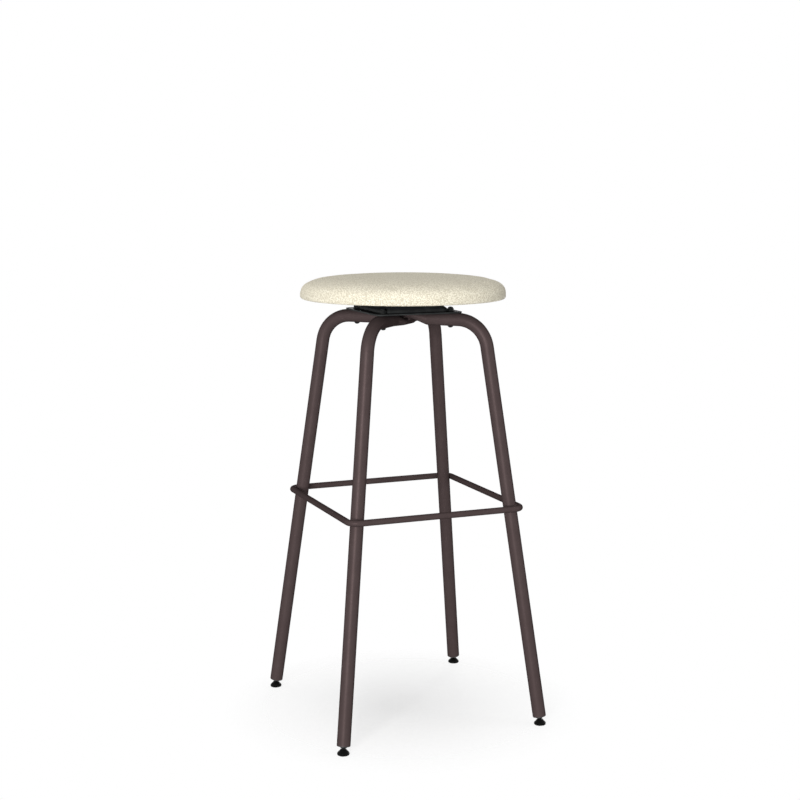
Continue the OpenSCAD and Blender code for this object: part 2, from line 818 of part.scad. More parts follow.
lower_arch();
upper_arch();
crossing_welds();
footrest_ring();
footrest_welds();
leg_insert(front_left);  // leg_insert_front_left
leg_insert(front_right);  // leg_insert_front_right
leg_insert(rear_left);  // leg_insert_rear_left
leg_insert(rear_right);  // leg_insert_rear_right
glide_stud(front_left);  // glide_stud_front_left
glide_stud(front_right);  // glide_stud_front_right
glide_stud(rear_left);  // glide_stud_rear_left
glide_stud(rear_right);  // glide_stud_rear_right
glide_foot(front_left);  // glide_foot_front_left
glide_foot(front_right);  // glide_foot_front_right
glide_foot(rear_left);  // glide_foot_rear_left
glide_foot(rear_right);  // glide_foot_rear_right
lower_swivel_plate();
plate_bolts();
plate_nuts();
pivot_bushing();
ball_cage();
bearing_balls();
upper_swivel_plate();
pivot_bolt();
pivot_washer();
pivot_nut();
seat_board();
tee_nuts();
seat_screws();
seat_foam();
seat_cover();
dust_cover();
staples();
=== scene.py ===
"""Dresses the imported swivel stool: padded seat, swivel, bent-tube frame, footrest and glides.

Lengths are in metres, angles in radians and powers in watts, apart from what says otherwise.
"""
import logging
import math
from collections.abc import Sequence
from dataclasses import dataclass, field
from enum import Enum

import bpy
import numpy as np
from mathutils import Euler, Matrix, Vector


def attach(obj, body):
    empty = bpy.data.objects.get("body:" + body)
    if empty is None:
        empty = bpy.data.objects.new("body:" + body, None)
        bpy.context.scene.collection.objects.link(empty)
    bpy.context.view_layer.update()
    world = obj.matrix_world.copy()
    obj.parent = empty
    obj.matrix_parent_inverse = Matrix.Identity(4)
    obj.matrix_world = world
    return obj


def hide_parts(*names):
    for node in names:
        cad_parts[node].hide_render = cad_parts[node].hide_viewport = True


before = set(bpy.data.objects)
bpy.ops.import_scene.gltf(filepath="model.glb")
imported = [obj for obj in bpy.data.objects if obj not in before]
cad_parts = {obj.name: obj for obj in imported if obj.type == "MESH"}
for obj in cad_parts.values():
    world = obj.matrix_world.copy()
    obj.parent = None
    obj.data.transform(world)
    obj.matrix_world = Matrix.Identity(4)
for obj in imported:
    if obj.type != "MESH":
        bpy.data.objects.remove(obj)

LOG = logging.getLogger("stool")
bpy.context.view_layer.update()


# A length that stands in for none, where something is divided by it.
TINY = 1e-9

# A colour, a colour with its opacity, a point or a factor on each axis, and the ends of a range.
Colour = tuple[float, float, float]
Opaque = tuple[float, float, float, float]
Place = tuple[float, float, float]
Band = tuple[float, float]
Socket = bpy.types.NodeSocket

# Ranges that many patterns share: all of it, and where a noise's values mostly lie.
WHOLE: Band = (0.0, 1.0)
USUAL: Band = (0.3, 0.7)


class Corner(Enum):
    """A leg of the stool, with its turn about the seat's axis in degrees from +X."""

    FRONT_LEFT = ("front_left", 225.0)
    FRONT_RIGHT = ("front_right", 315.0)
    REAR_LEFT = ("rear_left", 135.0)
    REAR_RIGHT = ("rear_right", 45.0)

    @property
    def label(self) -> str:
        """Name of the leg as the CAD nodes use it."""
        return self.value[0]

    @property
    def turn(self) -> float:
        """Turn about the seat's axis, in radians."""
        return math.radians(self.value[1])


@dataclass(frozen=True)
class LegLine:
    """The straight axis of a leg: its distance from the seat's axis at the floor, and its lean."""

    spread: float = 0.2888
    lean: float = math.radians(9.02)
    tube_radius: float = 0.0128

    def axis_radius(self, height: float) -> float:
        """Distance of the leg's axis from the seat's axis at a height."""
        return self.spread - height * math.tan(self.lean)

    def place(self, points: np.ndarray, turn: float, height: float) -> np.ndarray:
        """Carries points from the leg's own frame, +Z up along the leg, to the stool's frame.

        The points are leaned back towards the seat, moved out, then turned about Z.

        Args:
            points: Array (n, 3) in the leg's frame, about the axis point at the height.
            turn: Turn of the leg about the seat's axis, in radians.
            height: Height of that axis point above the floor.

        Returns:
            Array (n, 3) of the placed points.
        """
        lean = np.array([
            [math.cos(self.lean), 0.0, -math.sin(self.lean)],
            [0.0, 1.0, 0.0],
            [math.sin(self.lean), 0.0, math.cos(self.lean)],
        ])
        moved = points @ lean.T + np.array([self.axis_radius(height), 0.0, height])
        return turned(moved, turn)


# Meshes from arrays


@dataclass
class Shell:
    """A surface as arrays: points (n, 3), and quads (m, 4) and triangles (k, 3) by their numbers."""

    points: np.ndarray
    quads: np.ndarray
    triangles: np.ndarray

    def moved(self, points: np.ndarray) -> "Shell":
        """The same faces on other points."""
        return Shell(points, self.quads, self.triangles)


def joined(shells: Sequence[Shell]) -> Shell:
    """Several shells as one, each one's point numbers moved on past those before it.

    Args:
        shells: The shells, in order.

    Returns:
        One shell with all their points and faces.
    """
    starts = np.cumsum([0] + [len(shell.points) for shell in shells])
    return Shell(
        np.vstack([shell.points for shell in shells]),
        np.vstack([shell.quads + start for shell, start in zip(shells, starts)]),
        np.vstack([shell.triangles + start for shell, start in zip(shells, starts)]))


def turned(points: np.ndarray, turn: float) -> np.ndarray:
    """Points turned about Z by an angle in radians."""
    c, s = math.cos(turn), math.sin(turn)
    return points @ np.array([[c, s, 0.0], [-s, c, 0.0], [0.0, 0.0, 1.0]])


def angles(columns: int) -> np.ndarray:
    """Even angles round a circle, in radians, from 0."""
    return np.arange(columns) * 2 * np.pi / columns


def about_z(
        radius: np.ndarray | float, turn: np.ndarray, height: np.ndarray | float) -> np.ndarray:
    """Points (r cos t, r sin t, z), from arrays that broadcast together."""
    radius, turn, height = np.broadcast_arrays(radius, turn, height)
    return np.stack([radius * np.cos(turn), radius * np.sin(turn), height], axis=-1)


def smooth_step(share: np.ndarray) -> np.ndarray:
    """The even rise 3t^2 - 2t^3 from 0 to 1."""
    return share * share * (3 - 2 * share)


def outward(shell: Shell) -> Shell:
    """A closed shell with its faces turned outwards.

    Six times its volume is the sum of a . (b x c) over its triangles, where a quad counts as
    a, b, c with a, c, d. Where that is negative, every face is turned round.

    Args:
        shell: A closed shell whose faces all point the same way.

    Returns:
        The shell, with a positive volume.
    """
    a, b, c, d = np.moveaxis(shell.points[shell.quads], 1, 0)
    volume = (a * (np.cross(b, c) + np.cross(c, d))).sum()
    a, b, c = np.moveaxis(shell.points[shell.triangles], 1, 0)
    volume += (a * np.cross(b, c)).sum()
    if volume < 0:
        return Shell(shell.points, shell.quads[:, ::-1], shell.triangles[:, ::-1])
    return shell


def ring_quads(rows: int, columns: int) -> np.ndarray:
    """Quads that join point i of ring j to the next point round and to ring j + 1.

    Args:
        rows: Number of rings.
        columns: Number of points in each.

    Returns:
        Array ((rows - 1) * columns, 4) of point numbers.
    """
    index = np.arange(rows * columns).reshape(rows, columns)
    after = np.roll(index, -1, axis=1)
    return np.stack([index[:-1], after[:-1], after[1:], index[1:]], axis=-1).reshape(-1, 4)


def fan(ring: np.ndarray, pole: int) -> np.ndarray:
    """Triangles from each point of a ring and the next one round to a pole."""
    return np.stack([ring, np.roll(ring, -1), np.full(len(ring), pole)], axis=-1)


def ring_shell(rings: np.ndarray, start: float | np.ndarray, end: float | np.ndarray) -> Shell:
    """A skin over closed rings of points, with a fan of triangles to a pole at each end.

    Args:
        rings: Array (rows, columns, 3).
        start: Pole before the first ring, as a point, or as a height on the Z axis.
        end: Pole after the last ring, likewise.

    Returns:
        The shell, with its faces turned outwards.
    """
    rows, columns = rings.shape[:2]
    count = rows * columns
    first = np.arange(columns)
    last = first + count - columns
    low = fan(first, count)[:, [1, 0, 2]]
    poles = [[0.0, 0.0, pole] if np.ndim(pole) == 0 else pole for pole in (start, end)]
    points = np.vstack([rings.reshape(-1, 3), poles])
    triangles = np.vstack([low, fan(last, count + 1)])
    return outward(Shell(points, ring_quads(rows, columns), triangles))


def lathe(profile: np.ndarray, columns: int) -> Shell:
    """A profile turned about Z: each point (r, z) goes to (r cos t, r sin t, z).

    Args:
        profile: Array (n, 2) of radius and height whose first and last points lie on the axis.
        columns: Number of points round.

    Returns:
        A closed shell with a pole at each end.
    """
    body = profile[1:-1]
    rings = about_z(body[:, :1], angles(columns), body[:, 1:])
    return ring_shell(rings, profile[0, 1], profile[-1, 1])


def polar(radius: np.ndarray, height: np.ndarray) -> Shell:
    """A skin whose radius varies both round and along: radius[j, i] at angle i and height[j].

    Args:
        radius: Array (rows, columns) of radii.
        height: Array (rows,) of heights.

    Returns:
        A closed shell, with poles at the first and the last row's height.
    """
    rings = about_z(radius, angles(radius.shape[1]), height[:, None])
    return ring_shell(rings, height[0], height[-1])


def tube_along(path: np.ndarray, radius: np.ndarray, columns: int) -> Shell:
    """A round tube carried along a path, with a pole half a radius past each end.

    The tangent is the path's difference, one normal comes from the world axis least along it, and
    each ring is path + radius (cos t normal + sin t binormal).

    Args:
        path: Array (n, 3) of centres.
        radius: Array (n,) of radii.
        columns: Number of points round.

    Returns:
        A closed shell.
    """
    tangent = np.gradient(path, axis=0)
    tangent /= np.linalg.norm(tangent, axis=1, keepdims=True)
    axis = np.eye(3)[np.argmin(np.abs(tangent).max(axis=0))]
    normal = np.cross(tangent, axis)
    normal /= np.linalg.norm(normal, axis=1, keepdims=True)
    binormal = np.cross(tangent, normal)
    t = angles(columns)[None, :, None]
    spokes = np.cos(t) * normal[:, None] + np.sin(t) * binormal[:, None]
    rings = path[:, None] + radius[:, None, None] * spokes
    reach = tangent * radius[:, None] / 2
    return ring_shell(rings, path[0] - reach[0], path[-1] + reach[-1])


def disc(radius: float, columns: int) -> Shell:
    """A flat disc at height 0, facing up: a fan from its rim (R cos t, R sin t) to its centre.

    Args:
        radius: Its radius R.
        columns: Number of points round.

    Returns:
        The open shell.
    """
    points = np.vstack([about_z(radius, angles(columns), 0.0), [0.0, 0.0, 0.0]])
    return Shell(points, np.empty((0, 4), int), fan(np.arange(columns), columns))


def make_piece(name: str, shell: Shell, smooth: bool = True) -> bpy.types.Object:
    """A mesh object at the origin from a shell.

    Args:
        name: Name of the piece.
        shell: Its points and faces.
        smooth: Whether its faces are shaded smooth.

    Returns:
        The new object, linked to the scene.
    """
    mesh = bpy.data.meshes.new(name)
    mesh.from_pydata(shell.points.tolist(), [], shell.quads.tolist() + shell.triangles.tolist())
    mesh.polygons.foreach_set("use_smooth", np.full(len(mesh.polygons), smooth))
    mesh.validate()
    mesh.update()
    piece = bpy.data.objects.new(name, mesh)
    bpy.context.scene.collection.objects.link(piece)
    return piece


def read_points(mesh: bpy.types.Mesh) -> np.ndarray:
    """Reads a mesh's points.

    Args:
        mesh: The mesh.

    Returns:
        Array (n, 3).
    """
    points = np.empty(len(mesh.vertices) * 3)
    mesh.vertices.foreach_get("co", points)
    return points.reshape(-1, 3)


def smooth_noise(points: np.ndarray, cell: float, seed: int, lattice_size: int = 32) -> np.ndarray:
    """Value noise: random values on a lattice, blended by 3t^2 - 2t^3 along each axis.

    Args:
        points: Array (n, 3).
        cell: Width of a lattice cell in metres.
        seed: Seed of the values.
        lattice_size: Number of values along each axis before they repeat.

    Returns:
        Array (n,) of values from -1 to 1.
    """
    lattice = np.random.default_rng(seed).uniform(-1, 1, (lattice_size,) * 3)
    scaled = points / cell
    base = np.floor(scaled).astype(int)
    t = smooth_step(scaled - base)
    total = np.zeros(len(points))
    for corner in np.ndindex(2, 2, 2):
        weight = np.prod(np.where(np.array(corner) == 1, t, 1 - t), axis=1)
        total += weight * lattice[tuple(((base + corner) % lattice_size).T)]
    return total


# Node graphs


def grey(level: float) -> Opaque:
    """An opaque grey."""
    return (level, level, level, 1.0)


class Graph:
    """The node graph of a material or of the world."""

    def __init__(self, owner: bpy.types.Material | bpy.types.World, output: str) -> None:
        """Empties the owner's graph and adds its output.

        Args:
            owner: The material or the world.
            output: Kind of its output node.
        """
        owner.use_nodes = True
        self.nodes = owner.node_tree.nodes
        self.links = owner.node_tree.links
        self.nodes.clear()
        self.surface = self.node(output).inputs["Surface"]

    def feed(self, socket: Socket, value: Socket | Opaque | Colour | float) -> None:
        """Links an input to another node's output, or sets it to a plain value.

        Args:
            socket: The input.
            value: The output or the value.
        """
        if isinstance(value, Socket):
            self.links.new(value, socket)
        else:
            socket.default_value = value

    def node(self, kind: str, **sockets: Socket | Opaque | Colour | float) -> bpy.types.Node:
        """Adds a node and feeds its inputs.

        Args:
            kind: Kind of the node.
            sockets: What feeds each input, by its name with underscores for spaces.

        Returns:
            The new node.
        """
        node = self.nodes.new(kind)
        for name, value in sockets.items():
            self.feed(node.inputs[name.replace("_", " ")], value)
        return node

    def math(self, operation: str, first: Socket, second: Socket | float) -> Socket:
        """Works out one value from two.

        Args:
            operation: Name of the operation.
            first: The first value.
            second: The second value.

        Returns:
            The result.
        """
        node = self.node("ShaderNodeMath")
        node.operation = operation
        self.feed(node.inputs[0], first)
        self.feed(node.inputs[1], second)
        return node.outputs[0]

    def vector_math(self, operation: str, *vectors: Socket | Place) -> bpy.types.Node:
        """Works out a vector or a length from one vector or two.

        Args:
            operation: Name of the operation.
            vectors: The vectors.

        Returns:
            The node, with its outputs Vector and Value.
        """
        node = self.node("ShaderNodeVectorMath")
        node.operation = operation
        for socket, vector in zip(node.inputs, vectors):
            self.feed(socket, vector)
        return node

    def spread(self, value: Socket, band: Band, to: Band = WHOLE) -> Socket:
        """Maps a value from one range to another, held at the ends.

        Args:
            value: The value.
            band: The range that it comes from.
            to: The range that it goes to.

        Returns:
            The mapped value.
        """
        node = self.node(
            "ShaderNodeMapRange", Value=value,
            From_Min=band[0], From_Max=band[1], To_Min=to[0], To_Max=to[1])
        return node.outputs["Result"]

    def shown(self) -> Socket:
        """Tells what is seen from what gives light.

        Returns:
            1 for rays from the camera, in reflections and through glass, and 0 for other rays.
        """
        rays = self.node("ShaderNodeLightPath").outputs
        direct = self.math("MAXIMUM", rays["Is Camera Ray"], rays["Is Glossy Ray"])
        return self.math("MAXIMUM", direct, rays["Is Transmission Ray"])

    def mixed(self, share: Socket, first: bpy.types.Node, second: bpy.types.Node) -> bpy.types.Node:
        """Mixes two shaders.

        Args:
            share: 0 for the first and 1 for the second.
            first: The first shader.
            second: The second shader.

        Returns:
            The mixing node.
        """
        node = self.node("ShaderNodeMixShader")
        for socket, value in zip(node.inputs, (share, first.outputs[0], second.outputs[0])):
            self.feed(socket, value)
        return node


class MaterialGraph(Graph):
    """A material's graph: a Principled shader fed by patterns on Object coordinates."""

    def __init__(self, name: str) -> None:
        """Starts a material with its shader and its coordinates.

        Args:
            name: Name of the material.
        """
        self.material = bpy.data.materials.new(name)
        super().__init__(self.material, "ShaderNodeOutputMaterial")
        self.shader = self.node("ShaderNodeBsdfPrincipled")
        self.feed(self.surface, self.shader.outputs["BSDF"])
        self.place = self.node("ShaderNodeTexCoord").outputs["Object"]

    def noise(
            self, scale: float, detail: float = 4.0, rough: float = 0.55, warp: float = 0.0,
            place: Socket | None = None) -> Socket:
        """A noise.

        Args:
            scale: Its scale per metre.
            detail: Number of its octaves.
            rough: How much the finer octaves count.
            warp: How far it is distorted.
            place: Coordinates in place of the Object coordinates.

        Returns:
            Its value.
        """
        node = self.node(
            "ShaderNodeTexNoise", Vector=place or self.place,
            Scale=scale, Detail=detail, Roughness=rough, Distortion=warp)
        return node.outputs["Fac"]

    def stretched_noise(self, scale: float, stretch: Place) -> Socket:
        """A noise on coordinates that are multiplied by a factor along each axis."""
        mapping = self.node("ShaderNodeMapping", Vector=self.place, Scale=stretch)
        return self.noise(scale, detail=5.0, rough=0.5, place=mapping.outputs["Vector"])

    def warped_place(self, scale: float, amount: float) -> Socket:
        """Object coordinates pushed about by a coloured noise.

        Args:
            scale: The noise's scale per metre.
            amount: The push for a colour that goes from 0 to 1, in metres.

        Returns:
            The coordinates.
        """
        noise = self.node("ShaderNodeTexNoise", Vector=self.place, Scale=scale, Detail=2.0)
        centred = self.vector_math("SUBTRACT", noise.outputs["Color"], (0.5, 0.5, 0.5))
        push = self.vector_math("SCALE", centred.outputs["Vector"])
        push.inputs["Scale"].default_value = amount
        return self.vector_math("ADD", self.place, push.outputs["Vector"]).outputs["Vector"]

    def cells(self, scale: float, place: Socket | None = None) -> Socket:
        """A pattern of rounded cells.

        Args:
            scale: Cells per metre.
            place: Coordinates in place of the Object coordinates.

        Returns:
            Distance to the middle of the nearest cell.
        """
        node = self.node("ShaderNodeTexVoronoi", Vector=place or self.place, Scale=scale)
        node.feature = "SMOOTH_F1"
        node.inputs["Smoothness"].default_value = 0.6
        return node.outputs["Distance"]

    def blend(self, share: Socket, first: Socket | Colour, second: Colour) -> Socket:
        """Blends two colours.

        Args:
            share: 0 for the first and 1 for the second.
            first: A linked or a plain colour.
            second: A plain colour.

        Returns:
            The blended colour.
        """
        node = self.node("ShaderNodeMix")
        node.data_type = "RGBA"
        factor, start, end = node.inputs[0], node.inputs[6], node.inputs[7]
        self.feed(factor, share)
        self.feed(start, first if isinstance(first, Socket) else (*first, 1.0))
        self.feed(end, (*second, 1.0))
        return node.outputs[2]

    def bump(self, height: Socket, depth: float, strength: float = 1.0) -> None:
        """Bumps the shader's normal, over any bump already there.

        Args:
            height: The pattern that gives the height.
            depth: How high a value of 1 stands, in metres.
            strength: Share of the bump that shows.
        """
        node = self.node("ShaderNodeBump", Height=height, Distance=depth, Strength=strength)
        normal = self.shader.inputs["Normal"]
        if normal.is_linked:
            self.feed(node.inputs["Normal"], normal.links[0].from_socket)
        self.feed(normal, node.outputs["Normal"])

    def colour(self, value: Socket) -> None:
        """Links the base colour."""
        self.feed(self.shader.inputs["Base Color"], value)

    def rough(self, value: Socket) -> None:
        """Links the roughness."""
        self.feed(self.shader.inputs["Roughness"], value)

    def fixed(self, **values: float | Opaque) -> None:
        """Sets the shader's own sockets, named with underscores for spaces."""
        for name, value in values.items():
            self.shader.inputs[name.replace("_", " ")].default_value = value


# Finishes


@dataclass(frozen=True)
class PowderCoat:
    """Satin powder coat: orange-peel grain, slightly cloudy colour and a little metal fleck."""

    name: str = "taupe_powder_coat"
    colour: Colour = (0.0613, 0.0440, 0.0436)
    cloud: Colour = (0.0719, 0.0526, 0.0521)
    cloud_scale: float = 38.0
    cloud_band: Band = (0.35, 0.65)
    speck_scale: float = 1235.0
    speck_band: Band = (0.4, 0.72)
    half: Band = (0.0, 0.5)
    grain_scale: float = 950.0
    grain_depth: float = 0.00006
    roughness: Band = (0.36, 0.50)
    fleck: float = 0.18
    edge_gloss: float = 0.15

    def material(self) -> bpy.types.Material:
        """Makes the coat. Half of its change of colour comes from clouds and half from specks.

        Returns:
            The new material.
        """
        graph = MaterialGraph(self.name)
        clouds = graph.spread(graph.noise(self.cloud_scale, detail=3.0), self.cloud_band, self.half)
        specks = graph.spread(graph.noise(self.speck_scale, detail=2.0), self.speck_band, self.half)
        grain = graph.noise(self.grain_scale, detail=2.0)
        graph.colour(graph.blend(graph.math("ADD", clouds, specks), self.colour, self.cloud))
        graph.rough(graph.spread(grain, USUAL, self.roughness))
        graph.bump(grain, self.grain_depth, strength=0.7)
        graph.fixed(Metallic=self.fleck, Specular_IOR_Level=0.0, Specular_Tint=grey(self.edge_gloss))
        return graph.material


@dataclass(frozen=True)
class BlackPaint:
    """Thin black paint on pressed steel, with rubbed patches."""

    name: str = "black_plate_paint"
    colour: Colour = (0.0280, 0.0295, 0.0300)
    rubbed: Colour = (0.0430, 0.0450, 0.0450)
    patch_scale: float = 60.0
    patch_band: Band = (0.4, 0.7)
    smear_scale: float = 240.0
    grain_scale: float = 700.0
    grain_depth: float = 0.00005
    roughness: Band = (0.34, 0.54)
    edge_gloss: float = 0.1

    def material(self) -> bpy.types.Material:
        """Makes the paint, with a patchy colour, a smeared gloss and a fine grain.

        Returns:
            The new material.
        """
        graph = MaterialGraph(self.name)
        patches = graph.spread(graph.noise(self.patch_scale), self.patch_band)
        graph.colour(graph.blend(patches, self.colour, self.rubbed))
        graph.rough(graph.spread(graph.noise(self.smear_scale, detail=3.0), USUAL, self.roughness))
        graph.bump(graph.noise(self.grain_scale, detail=3.0), self.grain_depth, strength=0.6)
        graph.fixed(Metallic=0.05, Specular_IOR_Level=0.02, Specular_Tint=grey(self.edge_gloss))
        return graph.material


@dataclass(frozen=True)
class Metal:
    """Bare or plated metal with fine lines along one direction and a dull bloom."""

    name: str
    colour: Colour
    bloom: Colour
    roughness: Band
    metallic: float = 1.0
    gloss: float = 0.5
    lines: Place = (1.0, 1.0, 14.0)
    line_scale: float = 420.0
    line_depth: float = 0.00002
    bloom_scale: float = 130.0
    bloom_band: Band = (0.4, 0.68)

    def material(self) -> bpy.types.Material:
        """Makes the metal. Its lines are a noise squeezed along one axis.

        Returns:
            The new material.
        """
        graph = MaterialGraph(self.name)
        bloom = graph.spread(graph.noise(self.bloom_scale), self.bloom_band)
        streaks = graph.stretched_noise(self.line_scale, self.lines)
        graph.colour(graph.blend(bloom, self.colour, self.bloom))
        graph.rough(graph.spread(streaks, USUAL, self.roughness))
        graph.bump(streaks, self.line_depth, strength=0.5)
        graph.fixed(Metallic=self.metallic, Specular_IOR_Level=self.gloss)
        return graph.material


@dataclass(frozen=True)
class MouldedPlastic:
    """Moulded plastic with a faint flow pattern and a fine texture."""

    name: str
    colour: Colour
    scuff: Colour
    roughness: Band
    gloss: float = 0.5
    flow_scale: float = 210.0
    flow_band: Band = (0.45, 0.72)
    smear_scale: float = 520.0
    texture_scale: float = 1400.0
    texture_depth: float = 0.00003

    def material(self) -> bpy.types.Material:
        """Makes the plastic, with its flow pattern in the colour and its texture in the bump.

        Returns:
            The new material.
        """
        graph = MaterialGraph(self.name)
        flow = graph.spread(graph.noise(self.flow_scale, detail=5.0), self.flow_band)
        graph.colour(graph.blend(flow, self.colour, self.scuff))
        graph.rough(graph.spread(graph.noise(self.smear_scale, detail=3.0), USUAL, self.roughness))
        graph.bump(graph.noise(self.texture_scale, detail=2.0), self.texture_depth, strength=0.5)
        graph.fixed(Specular_IOR_Level=self.gloss)
        return graph.material


@dataclass(frozen=True)
class Plywood:
    """Birch plywood: long face grain, and plies that alternate at the edge."""

    name: str = "birch_plywood"
    light: Colour = (0.62, 0.43, 0.25)
    dark: Colour = (0.43, 0.27, 0.14)
    ply: float = 0.0015
    ply_share: float = 0.4
    grain_scale: float = 60.0
    grain_stretch: Place = (0.35, 6.0, 1.0)
    grain_share: Band = (0.0, 0.42)
    grain_depth: float = 0.00015
    roughness: Band = (0.62, 0.80)

    # The length of the wave pattern's waves where its scale is 1.
    wave_length: float = 0.314

    def material(self) -> bpy.types.Material:
        """Makes the plywood. Its plies are bands in height, one wave to each ply.

        Returns:
            The new material.
        """
        graph = MaterialGraph(self.name)
        grain = graph.stretched_noise(self.grain_scale, self.grain_stretch)
        plies = graph.node(
            "ShaderNodeTexWave", Vector=graph.place, Scale=self.wave_length / self.ply, Distortion=0.4)
        plies.bands_direction = "Z"
        edge = graph.math("MULTIPLY", plies.outputs["Fac"], self.ply_share)
        share = graph.math("ADD", graph.spread(grain, USUAL, self.grain_share), edge)
        graph.colour(graph.blend(share, self.light, self.dark))
        graph.rough(graph.spread(grain, USUAL, self.roughness))
        graph.bump(grain, self.grain_depth, strength=0.5)
        return graph.material


@dataclass(frozen=True)
class Boucle:
    """Nubby woven fabric: loops a little over 2 mm across, with painted shade in the creases and a
    painted highlight on top.
    """

    name: str = "ivory_boucle"
    # The crease colour is painted shade and the tip colour a painted highlight; the body is the yarn's
    # own colour.
    crease_shade: Colour = (0.60, 0.552, 0.434)
    body: Colour = (0.81, 0.765, 0.63)
    tip_highlight: Colour = (0.93, 0.90, 0.79)
    loop: float = 0.0023
    depth: float = 0.0009

    # Patterns: how often they change along a loop, how far loops wander, and shares of the height.
    wander_rate: float = 0.55
    curl_rate: float = 1.6
    yarn_rate: float = 7.0
    wander: float = 1.1
    loop_share: float = 0.62
    curl_share: float = 0.5
    yarn_share: float = 0.16
    loop_band: Band = (0.05, 0.75)
    # Heights where the painted crease shade fades out, and where the painted tip highlight comes in.
    crease_shade_band: Band = (0.34, 0.62)
    tip_highlight_band: Band = (0.64, 0.98)
    gloss_band: Band = (0.3, 0.9)
    roughness: Band = (0.92, 0.78)
    sheen_tint: Opaque = (1.0, 0.93, 0.78, 1.0)

    def material(self) -> bpy.types.Material:
        """Makes the fabric: round loops that wander, curled by one noise and fuzzed by a finer one.

        Returns:
            The new material.
        """
        graph = MaterialGraph(self.name)
        place = graph.warped_place(self.wander_rate / self.loop, self.wander * self.loop)
        cells = graph.cells(1.0 / self.loop, place)
        loops = graph.spread(cells, self.loop_band, (self.loop_share, 0.0))
        curls = graph.noise(self.curl_rate / self.loop, detail=3.0, rough=0.6, warp=1.2)
        yarn = graph.noise(self.yarn_rate / self.loop, detail=3.0, rough=0.65, warp=0.6)
        height = graph.math("ADD", loops, graph.math("MULTIPLY", curls, self.curl_share))
        fine = graph.math("ADD", height, graph.math("MULTIPLY", yarn, self.yarn_share))
        # Painted shade darkens the low creases, then a painted highlight lightens the high tips.
        shaded = graph.blend(graph.spread(height, self.crease_shade_band), self.crease_shade, self.body)
        graph.colour(graph.blend(graph.spread(fine, self.tip_highlight_band), shaded, self.tip_highlight))
        graph.rough(graph.spread(fine, self.gloss_band, self.roughness))
        graph.bump(height, self.depth)
        graph.bump(yarn, self.depth * self.yarn_share, strength=0.7)
        graph.fixed(Diffuse_Roughness=0.12, Specular_IOR_Level=0.06)
        graph.fixed(Sheen_Weight=0.1, Sheen_Roughness=0.5, Sheen_Tint=self.sheen_tint)
        return graph.material


@dataclass(frozen=True)
class DustCloth:
    """Black non-woven cloth with a pressed pattern of small points."""

    name: str = "dust_cloth"
    colour: Colour = (0.011, 0.011, 0.012)
    fibre: Colour = (0.035, 0.035, 0.037)
    fibre_scale: float = 900.0
    fibre_stretch: Place = (1.0, 0.25, 1.0)
    fibre_band: Band = (0.42, 0.72)
    points_per_metre: float = 640.0
    point_depth: float = 0.00025
    roughness: Band = (0.80, 0.95)

    def material(self) -> bpy.types.Material:
        """Makes the cloth, with long fibres in its colour and the pressed points in its bump.

        Returns:
            The new material.
        """
        graph = MaterialGraph(self.name)
        fibres = graph.stretched_noise(self.fibre_scale, self.fibre_stretch)
        graph.colour(graph.blend(graph.spread(fibres, self.fibre_band), self.colour, self.fibre))
        graph.rough(graph.spread(fibres, USUAL, self.roughness))
        graph.bump(graph.cells(self.points_per_metre), self.point_depth, strength=0.6)
        graph.fixed(Specular_IOR_Level=0.2, Sheen_Weight=0.1)
        return graph.material


TUBE_COAT = PowderCoat()
PLATE_PAINT = BlackPaint()
BOLT_STEEL = Metal(
    "black_bolt_steel", (0.010, 0.011, 0.011), (0.018, 0.018, 0.018), (0.43, 0.60),
    metallic=0.2, gloss=0.1)
STUD_STEEL = Metal(
    "black_oxide", (0.008, 0.008, 0.009), (0.018, 0.018, 0.019), (0.31, 0.48),
    metallic=0.3, gloss=0.15)
BRIGHT_ZINC = Metal("bright_zinc", (0.55, 0.55, 0.54), (0.66, 0.65, 0.61), (0.26, 0.43))
BALL_STEEL = Metal(
    "ball_steel", (0.72, 0.72, 0.73), (0.60, 0.60, 0.61), (0.07, 0.24), lines=(1.0, 1.0, 1.0))
CAGE_STEEL = Metal("cage_steel", (0.42, 0.41, 0.39), (0.31, 0.29, 0.25), (0.33, 0.50))
GLIDE_PLASTIC = MouldedPlastic(
    "black_glide_plastic", (0.003, 0.003, 0.003), (0.006, 0.006, 0.006), (0.25, 0.38), gloss=0.05)
INSERT_NYLON = MouldedPlastic(
    "black_insert_nylon", (0.009, 0.009, 0.009), (0.02, 0.02, 0.02), (0.45, 0.58))
BUSHING_NYLON = MouldedPlastic(
    "natural_nylon", (0.70, 0.67, 0.58), (0.60, 0.56, 0.46), (0.40, 0.53))
PLYWOOD = Plywood()
BOUCLE = Boucle()
DUST_CLOTH = DustCloth()


# Dressing


def dress(piece: bpy.types.Object, material: bpy.types.Material) -> None:
    """Puts one material on every slot of a piece.

    Args:
        piece: The piece.
        material: Its material.
    """
    if not piece.data.materials:
        piece.data.materials.append(material)
    for slot in piece.material_slots:
        slot.material = material


def dress_nodes(names: Sequence[str], material: bpy.types.Material) -> None:
    """Puts one material on CAD nodes.

    Args:
        names: The nodes' names.
        material: The material that they share.
    """
    for name in names:
        dress(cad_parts[name], material)
        LOG.info("dressed %s with %s", name, material.name)


def settle(piece: bpy.types.Object, body: str, replaced: Sequence[str]) -> None:
    """Makes a new piece ride on a body and hides the nodes that it stands for.

    Args:
        piece: The new piece.
        body: Name of the CAD body.
        replaced: CAD nodes that the piece stands for.
    """
    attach(piece, body)
    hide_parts(*replaced)
    LOG.info("built %s on %s, %d vertices", piece.name, body, len(piece.data.vertices))


# Sub-assemblies


